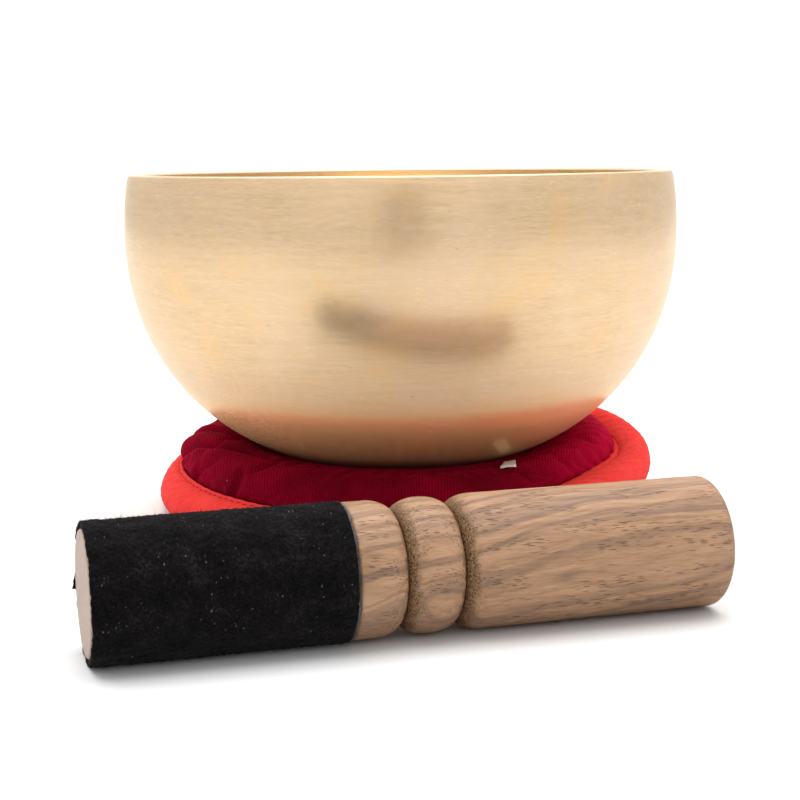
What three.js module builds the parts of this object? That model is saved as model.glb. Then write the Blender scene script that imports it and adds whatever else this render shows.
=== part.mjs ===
// A turned singing bowl on a velvet cushion, with its wood and suede mallet lying in front of it.
// Millimetres, +Z up. The origin is on the cushion's flat underside, under the bowl's axis.
// The cushion and the mallet both rest on the plane z = 0. +Y points from the mallet to the bowl.

import * as THREE from 'three';

// Clearance kept between pieces that lie against each other.
const gap = 0.3;

const bowl = {
  footHeight: 15.3, // lowest point of the outside, sunk into the cushion
  bellyRadius: 92.3, // widest point of the outside
  bellyAboveFoot: 81.4,
  rimRadius: 90.6,
  rimAboveBelly: 18.6,
  wall: 2.8,
  floor: 3.2,
  lip: 3.8, // thickness of the wall at the rim
  lipDepth: 9, // height over which the wall thickens to the lip
  lipRounding: 0.8,
  sideRoundness: 2.14, // superellipse power of the side's height
  footRoundness: 2.29, // superellipse power of the side's radius
  turns: 56,
  lowerSteps: 11,
  upperSteps: 4,
  cornerSteps: 2,
};

const cushion = {
  flatRadius: 72, // part of the underside that lies on the table
  widestRadius: 84.5,
  widestHeight: 8,
  seamRadius: 75.5,
  seamHeight: 15.5,
  crestRadius: 63,
  crestHeight: 27,
  contactRadius: 42, // the bowl lies in the dish up to here
  offCentre: 11, // the bowl stands this far in front of the cushion's own centre
  cotton: 0.8,
  velvet: 1.5,
  dishSteps: 5,
  curveSteps: 4,
  turns: 40,
};

// How far the control points of the cushion's curves stand from the curves' ends.
const fullness = {
  underside: 7,
  belowWidest: 5,
  aboveWidest: 3.5,
  cottonAtSeam: 4,
  velvetAtSeam: 4.5,
  crestOutside: 5,
  crestInside: 5,
  dishEdge: 10,
};

const seamThread = {
  radius: 0.35,
  belowSeam: 2.5,
  sides: 5,
};

const label = {
  width: 7,
  length: 8,
  thickness: 0.4,
  lift: 1, // from the velvet to the label's underside
  azimuth: -48.5, // degrees from +X
  downSlope: 0.62, // share of the way from the crest to the dish
};

const mallet = {
  radius: 17.5,
  length: 167,
  yaw: 17, // degrees from +X
  distance: 145, // from the bowl's axis to the mallet's axis
  alongOffset: -42.3, // the mallet's middle, along its axis, from its nearest point to the bowl
  suedeLength: 65,
  suedeThickness: 1.5,
  suedeInset: 0.3, // the wood's end stands this far past the suede
  suedeSlit: 0.4, // open butt seam between the suede's two long edges
  suedeSlitAngle: 70, // degrees from straight down, towards the bowl
  coreChamfer: 0.5, // on the edge of the wood's end
  endRounding: 2.5,
  turns: 36,
  grooveSteps: 4,
  endSteps: 3,
};

// Places along the mallet's axis, from its middle, suede end negative.
const turning = {
  collarEnd: -12.3,
  firstGroove: -5.2,
  secondGroove: 9.8,
  handleStart: 16,
  grooveRadius: 13.2,
};

const radians = THREE.MathUtils.degToRad;

function finish(color, roughness, metalness) {
  return new THREE.MeshStandardMaterial({ color, roughness, metalness });
}

function piece(name, geometry, material) {
  const mesh = new THREE.Mesh(geometry, material);
  mesh.name = name;
  return mesh;
}

// Turns a profile of (radius, height) points about the Z axis.
function revolve(profile, turns) {
  const geometry = new THREE.LatheGeometry(profile, turns);
  geometry.rotateX(Math.PI / 2);
  return geometry;
}

// Shifts an open outline to its left by a distance. Points on the axis stay on it.
function inset(points, distance) {
  return points.map((point, index) => {
    const before = points[Math.max(index - 1, 0)];
    const after = points[Math.min(index + 1, points.length - 1)];
    const along = after.clone().sub(before).normalize();
    const moved = new THREE.Vector2(point.x - along.y * distance, point.y + along.x * distance);
    if (point.x === 0) {
      moved.set(0, point.y + Math.sign(along.x) * distance);
    }
    return moved;
  });
}

// The lower part of the bowl's outside as an open outline, from the axis up to the widest level.
function lowerWall(radius, depth) {
  const points = [];
  for (let step = 0; step <= bowl.lowerSteps; step += 1) {
    const angle = (step / bowl.lowerSteps) * (Math.PI / 2);
    const across = Math.sin(angle) ** (2 / bowl.footRoundness);
    const down = Math.max(Math.cos(angle), 0) ** (2 / bowl.sideRoundness);
    points.push(new THREE.Vector2(radius * across, -depth * down));
  }
  return points;
}

// The upper part, from the widest level to just below the rim, set in by the wall's thickness.
function upperWall(top, thicknessAt) {
  const points = [];
  for (let step = 1; step <= bowl.upperSteps; step += 1) {
    const height = (step / bowl.upperSteps) * top;
    const share = height / bowl.rimAboveBelly;
    const outside = bowl.bellyRadius - (bowl.bellyRadius - bowl.rimRadius) * share ** 2;
    points.push(new THREE.Vector2(outside - thicknessAt(height), height));
  }
  return points;
}

// The wall thickens smoothly towards the lip.
function wallThickness(height) {
  const belowRim = bowl.rimAboveBelly - height;
  const share = THREE.MathUtils.smoothstep(bowl.lipDepth - belowRim, 0, bowl.lipDepth);
  return bowl.wall + (bowl.lip - bowl.wall) * share;
}

// Carries the cushion's outer parts back to its own centre. Parts under the bowl stay where they are.
function offCentreAt(radius) {
  return cushion.offCentre * THREE.MathUtils.smoothstep(radius, cushion.contactRadius, cushion.seamRadius);
}

// Turns a profile of the cushion round the bowl's axis and sets its outer parts back.
function revolveCushion(profile) {
  const geometry = revolve(profile, cushion.turns);
  const position = geometry.attributes.position;
  for (let index = 0; index < position.count; index += 1) {
    const radius = Math.hypot(position.getX(index), position.getY(index));
    position.setY(index, position.getY(index) + offCentreAt(radius));
  }
  geometry.computeVertexNormals();
  return geometry;
}

function arc(x, y, radiusX, radiusY, from, to, steps) {
  return new THREE.EllipseCurve(x, y, radiusX, radiusY, from, to, to < from).getPoints(steps);
}

function makeBowl() {
  const round = bowl.lipRounding;
  const straightTop = bowl.rimAboveBelly - round;
  const outerCorner = bowl.rimRadius - round;
  const innerCorner = bowl.rimRadius - bowl.lip + round;
  const profile = [
    ...lowerWall(bowl.bellyRadius, bowl.bellyAboveFoot),
    ...upperWall(straightTop, () => 0).slice(0, -1),
    ...arc(outerCorner, straightTop, round, round, 0, Math.PI / 2, bowl.cornerSteps),
    ...arc(innerCorner, straightTop, round, round, Math.PI / 2, Math.PI, bowl.cornerSteps),
    ...upperWall(straightTop, wallThickness).reverse().slice(1),
    ...lowerWall(bowl.bellyRadius - bowl.wall, bowl.bellyAboveFoot - bowl.floor).reverse(),
  ];
  const bellyHeight = bowl.footHeight + bowl.bellyAboveFoot;
  const raised = profile.map((point) => new THREE.Vector2(point.x, point.y + bellyHeight));
  return piece('bowl', revolve(raised, bowl.turns), finish(0xd8b98a, 0.28, 1));
}

// Height of the velvet where the bowl presses a dish into it.
function dishHeight(radius) {
  const depth = bowl.bellyAboveFoot + gap;
  const share = (radius / (bowl.bellyRadius + gap)) ** bowl.footRoundness;
  const bellyHeight = bowl.footHeight + bowl.bellyAboveFoot;
  return bellyHeight - depth * (1 - share) ** (1 / bowl.sideRoundness);
}

// Cotton side of the cushion, from the table round the widest level to the seam.
function cottonOutline() {
  const c = cushion;
  const widest = new THREE.Vector2(c.widestRadius, c.widestHeight);
  const lower = new THREE.CubicBezierCurve(
    new THREE.Vector2(c.flatRadius, 0),
    new THREE.Vector2(c.flatRadius + fullness.underside, 0),
    new THREE.Vector2(widest.x, widest.y - fullness.belowWidest),
    widest,
  );
  const upper = new THREE.CubicBezierCurve(
    widest,
    new THREE.Vector2(widest.x, widest.y + fullness.aboveWidest),
    new THREE.Vector2(c.seamRadius + fullness.cottonAtSeam, c.seamHeight),
    new THREE.Vector2(c.seamRadius, c.seamHeight),
  );
  const side = [...lower.getPoints(c.curveSteps), ...upper.getPoints(c.curveSteps).slice(1)];
  return [new THREE.Vector2(0, 0), ...side];
}

// Slope of the velvet between its crest and the edge of the dish.
function innerSlope() {
  const c = cushion;
  const dishEdge = new THREE.Vector2(c.contactRadius, dishHeight(c.contactRadius));
  return new THREE.CubicBezierCurve(
    new THREE.Vector2(c.crestRadius, c.crestHeight),
    new THREE.Vector2(c.crestRadius - fullness.crestInside, c.crestHeight),
    new THREE.Vector2(dishEdge.x + fullness.dishEdge, dishEdge.y + 1),
    dishEdge,
  );
}

// Velvet top of the cushion, from the seam over the crest and down into the dish.
function velvetOutline() {
  const c = cushion;
  const seamEdge = new THREE.Vector2(c.seamRadius - gap, c.seamHeight + gap);
  const outer = new THREE.CubicBezierCurve(
    seamEdge,
    new THREE.Vector2(seamEdge.x + 1, seamEdge.y + fullness.velvetAtSeam),
    new THREE.Vector2(c.crestRadius + fullness.crestOutside, c.crestHeight),
    new THREE.Vector2(c.crestRadius, c.crestHeight),
  );
  const dish = [];
  for (let step = c.dishSteps - 1; step >= 0; step -= 1) {
    const radius = (c.contactRadius * step) / c.dishSteps;
    dish.push(new THREE.Vector2(radius, dishHeight(radius)));
  }
  return [...outer.getPoints(c.curveSteps), ...innerSlope().getPoints(c.curveSteps).slice(1), ...dish];
}

function makeBaseCloth() {
  const outside = cottonOutline();
  const inside = inset(outside, cushion.cotton).reverse();
  const geometry = revolveCushion([...outside, ...inside]);
  return piece('cushion_base_cloth', geometry, finish(0xe0201f, 0.9, 0));
}

function makeVelvetTop() {
  const outside = velvetOutline();
  const inside = inset(outside, cushion.velvet).reverse();
  const geometry = revolveCushion([...inside, ...outside]);
  return piece('cushion_velvet_top', geometry, finish(0x7a0420, 0.95, 0));
}

function makeFilling() {
  const lower = inset(cottonOutline(), cushion.cotton + gap);
  const upper = inset(velvetOutline(), cushion.velvet + gap);
  const geometry = revolveCushion([...lower, ...upper]);
  return piece('cushion_filling', geometry, finish(0xf1ece0, 1, 0));
}

// One line of stitching round the cotton's edge, drawn as its closed thread ring.
function makeSeamThread() {
  const outside = cottonOutline();
  const edge = outside[outside.length - 1];
  const towards = outside[outside.length - 2].clone().sub(edge).normalize();
  const onCloth = edge.clone().addScaledVector(towards, seamThread.belowSeam);
  const outward = new THREE.Vector2(-towards.y, towards.x);
  const centre = onCloth.addScaledVector(outward, seamThread.radius + gap);
  const { radius, sides } = seamThread;
  const profile = arc(centre.x, centre.y, radius, radius, 0, Math.PI * 2, sides);
  return piece('cushion_seam_thread', revolveCushion(profile), finish(0xb51a1c, 0.8, 0));
}

// Small blank label that lies on the inner slope and shows beside the bowl's foot.
function makeLabel() {
  const slope = innerSlope();
  const middle = slope.getPoint(label.downSlope);
  const along = slope.getTangent(label.downSlope);
  const mesh = piece(
    'cushion_label',
    new THREE.BoxGeometry(label.length, label.width, label.thickness),
    finish(0xe9e6e2, 0.7, 0),
  );
  mesh.position.set(middle.x, 0, middle.y + label.lift + label.thickness / 2);
  mesh.rotation.y = Math.atan2(along.y, -along.x);
  const turned = new THREE.Group();
  turned.rotation.z = radians(label.azimuth);
  turned.position.y = offCentreAt(middle.x);
  turned.add(mesh);
  return turned;
}

// Profile of the stick as (radius, place along the axis), from the suede end to the handle's end.
function stickProfile() {
  const half = mallet.length / 2;
  const full = mallet.radius;
  const waist = turning.grooveRadius;
  const swell = full - waist;
  const core = full - mallet.suedeThickness - gap;
  const end = -half;
  const shoulder = -half + mallet.suedeLength + gap;
  const beadMiddle = (turning.firstGroove + turning.secondGroove) / 2;
  const beadHalf = (turning.secondGroove - turning.firstGroove) / 2;
  const collarWidth = turning.firstGroove - turning.collarEnd;
  const handleCurve = turning.handleStart - turning.secondGroove;
  const round = mallet.endRounding;
  const quarter = Math.PI / 2;
  const { grooveSteps } = mallet;
  return [
    new THREE.Vector2(0, end),
    new THREE.Vector2(core - mallet.coreChamfer, end),
    new THREE.Vector2(core, end + mallet.coreChamfer),
    new THREE.Vector2(core, shoulder),
    new THREE.Vector2(full, shoulder),
    ...arc(waist, turning.collarEnd, swell, collarWidth, 0, quarter, grooveSteps),
    ...arc(waist, beadMiddle, swell, beadHalf, -quarter, quarter, 2 * grooveSteps).slice(1, -1),
    ...arc(waist, turning.handleStart, swell, handleCurve, -quarter, 0, grooveSteps),
    ...arc(full - round, half - round, round, round, 0, quarter, mallet.endSteps),
    new THREE.Vector2(0, half),
  ];
}

function makeStick() {
  const geometry = new THREE.LatheGeometry(stickProfile(), mallet.turns);
  geometry.rotateZ(-Math.PI / 2);
  return piece('mallet_stick', geometry, finish(0x9a7350, 0.6, 0));
}

// Suede wrapped once round the stick, with its two long edges butted at an open slit.
function makeSuedeSleeve() {
  const inner = mallet.radius - mallet.suedeThickness;
  const slit = mallet.suedeSlit / mallet.radius;
  const start = radians(mallet.suedeSlitAngle) + slit / 2;
  const end = start + Math.PI * 2 - slit;
  const outline = new THREE.Shape();
  outline.absarc(0, 0, mallet.radius, start, end, false);
  outline.absarc(0, 0, inner, end, start, true);
  const geometry = new THREE.ExtrudeGeometry(outline, {
    depth: mallet.suedeLength - mallet.suedeInset,
    bevelEnabled: false,
    curveSegments: mallet.turns,
  });
  geometry.rotateY(Math.PI / 2);
  geometry.translate(mallet.suedeInset - mallet.length / 2, 0, 0);
  return piece('mallet_suede_sleeve', geometry, finish(0x1b1a1c, 0.95, 0));
}

function makeMallet() {
  const group = new THREE.Group();
  const yaw = radians(mallet.yaw);
  const along = new THREE.Vector3(Math.cos(yaw), Math.sin(yaw), 0);
  const nearest = new THREE.Vector3(Math.sin(yaw), -Math.cos(yaw), 0).multiplyScalar(mallet.distance);
  group.position.copy(nearest).addScaledVector(along, mallet.alongOffset);
  group.position.z = mallet.radius;
  group.rotation.z = yaw;
  group.add(makeStick(), makeSuedeSleeve());
  return group;
}

const singingBowl = new THREE.Group();
singingBowl.add(makeBowl());
singingBowl.add(makeBaseCloth(), makeVelvetTop(), makeFilling(), makeSeamThread(), makeLabel());
singingBowl.add(makeMallet());

export default singingBowl;
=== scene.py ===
"""A singing bowl on its velvet cushion with a wood and suede mallet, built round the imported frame.

Shapes are worked out in millimetres as numpy grids and turned into meshes in metres. Every grid is a
set of rings: the bowl's and the cushion's lie round the Z axis, the mallet's round its own axis.
"""

import math
import bpy
import numpy as np
from mathutils import Matrix, Vector


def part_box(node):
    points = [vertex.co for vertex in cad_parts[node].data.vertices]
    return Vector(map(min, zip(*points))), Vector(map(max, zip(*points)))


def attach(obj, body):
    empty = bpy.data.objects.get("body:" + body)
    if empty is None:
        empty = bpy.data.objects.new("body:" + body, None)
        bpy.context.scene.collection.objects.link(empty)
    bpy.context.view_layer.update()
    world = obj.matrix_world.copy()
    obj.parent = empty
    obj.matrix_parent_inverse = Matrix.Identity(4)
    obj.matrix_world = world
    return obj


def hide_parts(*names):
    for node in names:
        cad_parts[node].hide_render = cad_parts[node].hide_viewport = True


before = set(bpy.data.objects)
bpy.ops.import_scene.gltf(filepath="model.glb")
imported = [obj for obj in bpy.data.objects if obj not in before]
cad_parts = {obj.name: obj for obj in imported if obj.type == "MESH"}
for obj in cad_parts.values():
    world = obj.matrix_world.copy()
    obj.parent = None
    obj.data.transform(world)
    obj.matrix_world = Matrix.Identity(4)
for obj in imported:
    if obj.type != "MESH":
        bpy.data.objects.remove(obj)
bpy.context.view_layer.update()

MM = 0.001
random = np.random.default_rng(17)


# ---------------------------------------------------------------- sizes from the frame, in millimetres


def box_mm(node):
    low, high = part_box(node)
    return np.array(low) / MM, np.array(high) / MM


bowl_low, bowl_high = box_mm("bowl")
cotton_low, cotton_high = box_mm("cushion_base_cloth")
velvet_low, velvet_high = box_mm("cushion_velvet_top")

BELLY_RADIUS = (bowl_high[0] - bowl_low[0]) / 2
FOOT_HEIGHT = bowl_low[2]
RIM_HEIGHT = bowl_high[2]
RIM_ABOVE_BELLY = 18.6
RIM_RADIUS = BELLY_RADIUS - 1.7
BELLY_HEIGHT = RIM_HEIGHT - RIM_ABOVE_BELLY
BELLY_DEPTH = BELLY_HEIGHT - FOOT_HEIGHT
WALL = 2.8
FLOOR = 3.2
LIP = 3.8
LIP_DEPTH = 9.0
LIP_ROUNDING = 0.8
SIDE_ROUNDNESS = 2.14
FOOT_ROUNDNESS = 2.29
# Painted reflection: the metal is painted a warmer gold near the foot, standing in for the reddish
# reflection there, fading out upwards between these two heights.
FOOT_REFLECTION_FULL = 36.0
FOOT_REFLECTION_TOP = 52.0
# Painted light and shade inside: the metal is painted paler upwards over the first span of height and
# darker downwards over the second.
INSIDE_PAINTED_LIGHT = (60.0, 105.0)
INSIDE_PAINTED_SHADE = (80.0, 30.0)
MATT_SHARE = 0.55
MATT_ROUGHNESS = 0.58
BOWL_COLUMNS = 288

CUSHION_RADIUS = cotton_high[0]
SEAM_HEIGHT = cotton_high[2]
CREST_HEIGHT = velvet_high[2]
SEAM_RADIUS = 75.5
CREST_RADIUS = 63.0
FLAT_RADIUS = 72.0
CONTACT_RADIUS = 42.0
OFF_CENTRE = 11.0
COTTON = 0.8
VELVET = 1.5
GAP = 0.3

MALLET_RADIUS = 17.5
MALLET_LENGTH = 167.0
MALLET_YAW = math.radians(17.0)
MALLET_DISTANCE = 145.0
MALLET_ALONG = -42.3
SUEDE_LENGTH = 65.0
SUEDE_THICKNESS = 1.5
SUEDE_INSET = 0.3
GROOVE_RADIUS = 13.2
COLLAR_END = -12.3
FIRST_GROOVE = -5.2
SECOND_GROOVE = 9.8
HANDLE_START = 16.0
END_ROUNDING = 2.5
STICK_COLUMNS = 176
SUEDE_COLUMNS = 260

mallet_along = np.array([math.cos(MALLET_YAW), math.sin(MALLET_YAW), 0.0])
mallet_nearest = np.array([math.sin(MALLET_YAW), -math.cos(MALLET_YAW), 0.0]) * MALLET_DISTANCE
mallet_middle = mallet_nearest + mallet_along * MALLET_ALONG + np.array([0.0, 0.0, MALLET_RADIUS])


# ---------------------------------------------------------------- mesh tools


def mesh_object(name, points, faces, corner_uv=None):
    """A smooth mesh object from points in millimetres, with one UV pair for each face corner."""
    mesh = bpy.data.meshes.new(name)
    mesh.from_pydata((np.asarray(points) * MM).tolist(), [], faces)
    if corner_uv is not None:
        layer = mesh.uv_layers.new(name="cloth")
        layer.data.foreach_set("uv", np.asarray(corner_uv, np.float32).ravel())
    mesh.shade_smooth()
    made = bpy.data.objects.new(name, mesh)
    bpy.context.scene.collection.objects.link(made)
    return made


def full_turn(count):
    """Equal steps of angle once round."""
    return np.arange(count) * 2 * np.pi / count


def ring_quads(index):
    """Faces between rings of point numbers, each ring closed on itself."""
    after = np.roll(index, -1, axis=1)
    return np.stack([index[:-1], after[:-1], after[1:], index[1:]], axis=-1).reshape(-1, 4)


def rod_faces(base, rings, sides, reverse=False):
    """Faces of a closed rod whose rings of points follow one another from number base on."""
    index = base + np.arange(rings * sides).reshape(rings, sides)
    faces = [index[0, ::-1].tolist(), index[-1].tolist(), *ring_quads(index).tolist()]
    return [face[::-1] for face in faces] if reverse else faces


def ring_solid(name, grid, lengths=None):
    """A closed mesh through a grid of rings. The first and last rings have shrunk to one point each.

    lengths gives each ring's distance along the surface from the first point. With it, UV is the flat
    pattern of the surface: that distance out from the middle, in the direction of the point.
    """
    rings, around, _ = grid.shape
    points = np.concatenate([grid[:1, 0], grid[1:-1].reshape(-1, 3), grid[-1:, 0]])
    last = len(points) - 1
    index = 1 + np.arange((rings - 2) * around).reshape(rings - 2, around)
    after = np.roll(index, -1, axis=1)
    start = np.stack([np.zeros(around, int), after[0], index[0]], axis=-1)
    end = np.stack([index[-1], after[-1], np.full(around, last)], axis=-1)
    faces = ring_quads(index).tolist() + start.tolist() + end.tolist()
    corner_uv = None
    if lengths is not None:
        angle = full_turn(around)
        flat = np.asarray(lengths)[:, None, None] * np.stack([np.cos(angle), np.sin(angle)], -1) * MM
        flat = np.concatenate([flat[:1, 0], flat[1:-1].reshape(-1, 2), flat[-1:, 0]])
        corner_uv = flat[np.concatenate([ring_quads(index).ravel(), start.ravel(), end.ravel()])]
    return mesh_object(name, points, faces, corner_uv)


def revolve(radius, height, columns):
    """Rings round the Z axis from a profile."""
    angle = full_turn(columns)
    radius, height = np.asarray(radius)[:, None], np.asarray(height)[:, None]
    return np.stack([radius * np.cos(angle), radius * np.sin(angle), height + 0 * angle], -1)


def bezier(start, first, second, end, steps):
    """Points of a cubic curve between (radius, height) pairs, which may vary round the ring."""
    t = np.linspace(0, 1, steps)[:, None]
    weights = ((1 - t) ** 3, 3 * t * (1 - t) ** 2, 3 * t**2 * (1 - t), t**3)
    corners = (start, first, second, end)
    radius = sum(w * np.atleast_1d(c[0]) for w, c in zip(weights, corners))
    height = sum(w * np.atleast_1d(c[1]) for w, c in zip(weights, corners))
    return radius, height


def profile_lengths(radius, height):
    steps = np.hypot(np.diff(radius), np.diff(height))
    return np.concatenate([[0], np.cumsum(steps)])


def smooth_step(value, low, high):
    t = np.clip((value - low) / (high - low), 0, 1)
    return t * t * (3 - 2 * t)


def finer(grid, factor, axis, closed):
    """More points along one axis of a grid, on a smooth curve through the ones it has."""
    grid = np.moveaxis(grid, axis, 0)
    count = len(grid)
    at = np.arange(count * factor if closed else (count - 1) * factor + 1) / factor
    whole = np.floor(at).astype(int)
    t = (at - whole)[:, None, None]

    def take(offset):
        picked = (whole + offset) % count if closed else np.clip(whole + offset, 0, count - 1)
        return grid[picked]

    p0, p1, p2, p3 = (take(offset) for offset in (-1, 0, 1, 2))
    bend = 2 * p0 - 5 * p1 + 4 * p2 - p3
    curve = p1 + 0.5 * t * (p2 - p0 + t * (bend + t * (3 * (p1 - p2) + p3 - p0)))
    return np.moveaxis(curve, 0, axis)


def grid_normals(grid):
    """Outward normals of a grid of rings."""
    around = np.roll(grid, -1, axis=1) - np.roll(grid, 1, axis=1)
    along = np.gradient(grid, axis=0)
    normal = np.cross(around, along)
    length = np.linalg.norm(normal, axis=-1, keepdims=True)
    normal = normal / np.maximum(length, 1e-9)
    for end, near in ((0, 1), (-1, -2)):
        if np.ptp(grid[end], axis=0).max() < 1e-6:
            normal[end] = np.array([0, 0, math.copysign(1, normal[near][:, 2].mean())])
    return normal


def ring_noise(shape, rows, columns, seed):
    """Smooth random values over a grid of rings, about rows by columns bumps, from -1 to 1."""
    source = np.random.default_rng(seed).uniform(-1, 1, (rows + 1, columns, 1))
    fine = finer(source, math.ceil(shape[1] / columns), 1, True)
    fine = finer(fine, math.ceil(shape[0] / rows), 0, False)
    pick_rows = np.linspace(0, len(fine) - 1, shape[0]).astype(int)
    pick_columns = np.linspace(0, fine.shape[1], shape[1], endpoint=False).astype(int)
    return fine[pick_rows][:, pick_columns, 0]


# ---------------------------------------------------------------- material tools


class Nodes:
    """Short calls that add nodes to one tree."""

    def __init__(self, tree):
        self.tree = tree

    def feed(self, socket, value):
        if isinstance(value, bpy.types.NodeSocket):
            self.tree.links.new(value, socket)
        else:
            socket.default_value = value

    def node(self, kind, inputs=None, **settings):
        made = self.tree.nodes.new("ShaderNode" + kind)
        for name, value in settings.items():
            setattr(made, name, value)
        for name, value in (inputs or {}).items():
            self.feed(made.inputs[name], value)
        return made

    def math(self, operation, first, second=0.0, clamp=False):
        made = self.node("Math", {0: first, 1: second}, operation=operation, use_clamp=clamp)
        return made.outputs[0]

    def times(self, first, second):
        return self.math("MULTIPLY", first, second)

    def plus(self, first, second):
        return self.math("ADD", first, second)

    def minus(self, first, second):
        return self.math("SUBTRACT", first, second)

    def shifted(self, vector, by, amount):
        """A vector moved along another one, times an amount."""
        shift = self.node("VectorMath", {0: by, "Scale": amount}, operation="SCALE").outputs[0]
        return self.node("VectorMath", {0: vector, 1: shift}, operation="ADD").outputs[0]

    def where(self, kind="Object"):
        return self.node("TexCoord").outputs[kind]

    def stretch(self, vector, scale, turn=(0, 0, 0)):
        made = self.node("Mapping", {"Vector": vector, "Scale": scale, "Rotation": turn})
        return made.outputs[0]

    def parts(self, vector):
        return self.node("SeparateXYZ", {0: vector}).outputs

    def join(self, x, y, z):
        return self.node("CombineXYZ", {0: x, 1: y, 2: z}).outputs[0]

    def noise(self, vector, scale, detail=2.0, roughness=0.5, color=False):
        values = {"Vector": vector, "Scale": scale, "Detail": detail, "Roughness": roughness}
        made = self.node("TexNoise", values)
        return made.outputs["Color" if color else "Fac"]

    def cells(self, vector, scale):
        """Distance to the nearest of many scattered points."""
        return self.node("TexVoronoi", {"Vector": vector, "Scale": scale}).outputs["Distance"]

    def between(self, value, low, high, to_low=0.0, to_high=1.0):
        values = {0: value, 1: low, 2: high, 3: to_low, 4: to_high}
        return self.node("MapRange", values, interpolation_type="SMOOTHSTEP").outputs[0]

    def ramp(self, value, stops):
        made = self.node("ValToRGB", {0: value})
        elements = made.color_ramp.elements
        while len(elements) < len(stops):
            elements.new(0.5)
        for element, (place, color) in zip(elements, stops):
            element.position = place
            element.color = (*color, 1)
        return made.outputs[0]

    def mix(self, factor, first, second):
        made = self.node("Mix", data_type="RGBA")
        for socket, value in ((0, factor), (6, first), (7, second)):
            if isinstance(value, tuple):
                value = (*value, 1)
            self.feed(made.inputs[socket], value)
        return made.outputs[2]

    def bump(self, height, distance):
        return self.node("Bump", {"Height": height, "Distance": distance}).outputs[0]


class Shader(Nodes):
    """The nodes of one material, round its Principled shader."""

    def __init__(self, name):
        self.material = bpy.data.materials.new(name)
        self.material.use_nodes = True
        super().__init__(self.material.node_tree)
        self.surface = self.tree.nodes["Principled BSDF"]

    def set(self, **values):
        for name, value in values.items():
            self.feed(self.surface.inputs[name.replace("_", " ")], value)


def dress(piece, shader, body, slot, *nodes):
    """Gives a piece its material and its body, and hides the CAD nodes that it stands for. The slot is
    not used.
    """
    piece.data.materials.append(shader.material)
    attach(piece, body)
    if nodes:
        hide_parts(*nodes)


# ---------------------------------------------------------------- bowl


def superellipse(radius, depth, steps):
    """From the axis out and up to the widest level, which is height 0."""
    angle = np.linspace(0, np.pi / 2, steps)
    across = radius * np.sin(angle) ** (2 / FOOT_ROUNDNESS)
    down = depth * np.maximum(np.cos(angle), 0) ** (2 / SIDE_ROUNDNESS)
    return across, -down


def underside(radius, clearance=0.0):
    """Height of the bowl's outside at a radius, lowered by a clearance."""
    share = np.clip(radius / (BELLY_RADIUS + clearance), 0, 1) ** FOOT_ROUNDNESS
    return BELLY_HEIGHT - (BELLY_DEPTH + clearance) * (1 - share) ** (1 / SIDE_ROUNDNESS)


def bowl_profile():
    """Outside from the foot to the rim, over the lip, and down the inside to the floor."""
    outer_r, outer_z = superellipse(BELLY_RADIUS, BELLY_DEPTH, 130)
    inner_r, inner_z = superellipse(BELLY_RADIUS - WALL, BELLY_DEPTH - FLOOR, 100)
    top = RIM_ABOVE_BELLY - LIP_ROUNDING
    height = np.linspace(0, top, 26)[1:-1]
    outside = BELLY_RADIUS - (BELLY_RADIUS - RIM_RADIUS) * (height / RIM_ABOVE_BELLY) ** 2
    below_rim = RIM_ABOVE_BELLY - height
    thickness = WALL + (LIP - WALL) * smooth_step(LIP_DEPTH - below_rim, 0, LIP_DEPTH)
    corner = np.linspace(0, np.pi / 2, 7)
    lip_outer = RIM_RADIUS - LIP_ROUNDING + LIP_ROUNDING * np.cos(corner)
    lip_inner = RIM_RADIUS - LIP + LIP_ROUNDING - LIP_ROUNDING * np.sin(corner)
    lip_up = top + LIP_ROUNDING * np.sin(corner)
    lip_down = top + LIP_ROUNDING * np.cos(corner)
    inner_wall = (outside - thickness)[::-1]
    radius = np.concatenate([outer_r, outside, lip_outer, lip_inner, inner_wall, inner_r[::-1]])
    height = np.concatenate([outer_z, height, lip_up, lip_down, height[::-1], inner_z[::-1]])
    return radius, height + BELLY_HEIGHT


def make_bowl():
    radius, height = bowl_profile()
    grid = revolve(radius, height, BOWL_COLUMNS)
    return ring_solid("singing_bowl", grid, profile_lengths(radius, height))


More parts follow.
